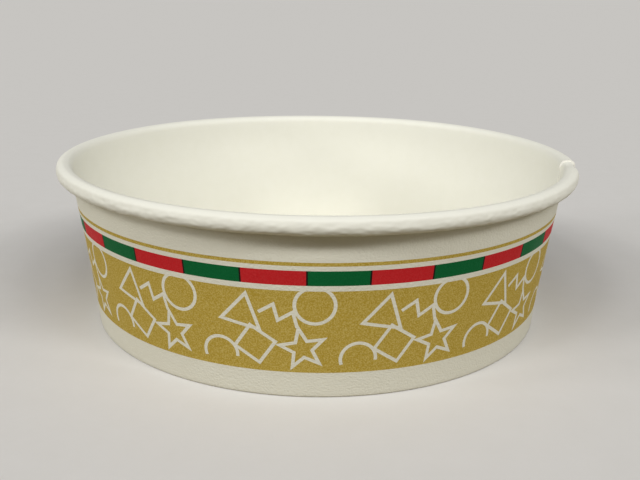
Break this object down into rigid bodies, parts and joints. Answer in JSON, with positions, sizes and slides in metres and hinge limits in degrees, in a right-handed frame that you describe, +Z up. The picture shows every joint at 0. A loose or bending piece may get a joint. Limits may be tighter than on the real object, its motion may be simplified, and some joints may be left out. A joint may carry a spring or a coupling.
{
  "type": "paper food cup",
  "caption": "Wide, shallow paperboard food cup with a leaning lapped wall, an outward rolled rim, a hemmed foot and a recessed base disc.",
  "frame": {"origin": "on the floor at the middle of the foot", "axes": "+Z up along the cup's axis, towards the mouth; +X towards the side seam"},
  "size_m": [0.15, 0.15, 0.0464],
  "materials": {
    "printed_paperboard": "white paperboard, matt and printed outside, coated inside and over the rolled rim",
    "coated_paperboard": "white paperboard, satin coating on the food side"
  },
  "bodies": {
    "root": {"side_wall": "printed_paperboard", "base_disc": "coated_paperboard"}
  },
  "joints": []
}
